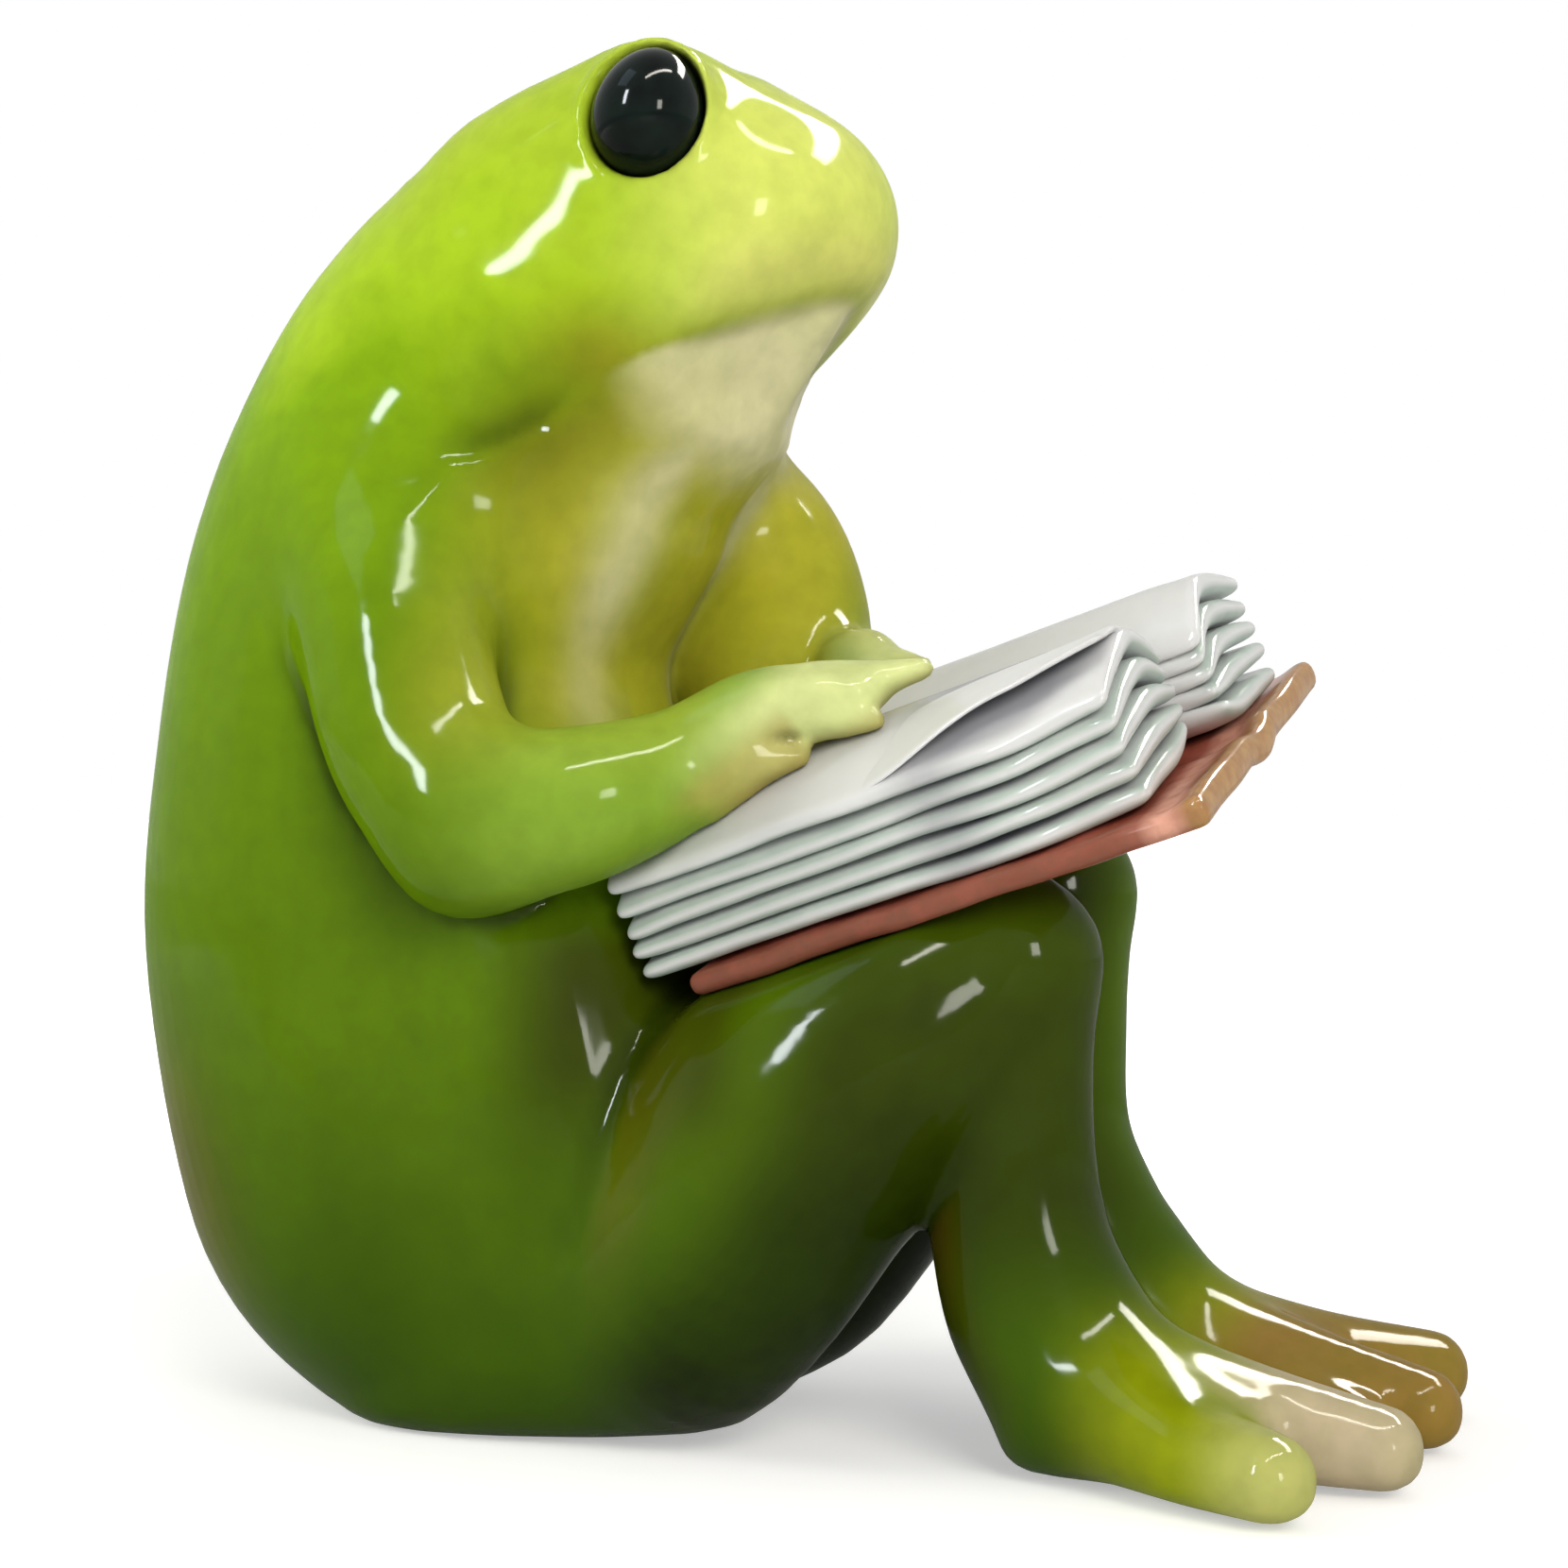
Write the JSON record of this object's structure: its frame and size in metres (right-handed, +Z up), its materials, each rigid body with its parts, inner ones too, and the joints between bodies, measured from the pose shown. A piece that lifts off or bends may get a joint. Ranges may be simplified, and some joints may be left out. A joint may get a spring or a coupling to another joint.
{
  "type": "frog figurine",
  "caption": "Seated miniature frog figurine in glossy painted resin, knees drawn up, reading an open book laid across its knees.",
  "frame": {"origin": "middle of the flat seat, on the surface that the figure stands on", "axes": "+X the way the frog faces, +Y towards the frog's left side, +Z up"},
  "size_m": [0.0595, 0.0312, 0.0602],
  "materials": {
    "painted_resin": "hand-painted green under clear gloss lacquer",
    "eye_bead": "black, high gloss",
    "painted_cover": "terracotta paint, worn at the edges, under clear lacquer",
    "painted_pages": "white paint with a grey wash in the grooves, under clear lacquer",
    "pin_wire": "drawn wire, cut to length"
  },
  "bodies": {
    "root": {"body_casting": "painted_resin", "right_arm": "painted_resin", "left_arm": "painted_resin", "right_leg": "painted_resin", "left_leg": "painted_resin", "right_eye": "eye_bead", "left_eye": "eye_bead", "book_cover": "painted_cover", "right_page_block": "painted_pages", "left_page_block": "painted_pages", "lifted_leaf": "painted_pages", "right_shoulder_pin": "pin_wire", "left_shoulder_pin": "pin_wire", "right_hip_pin": "pin_wire", "left_hip_pin": "pin_wire", "right_knee_pin": "pin_wire", "left_knee_pin": "pin_wire"}
  },
  "joints": []
}
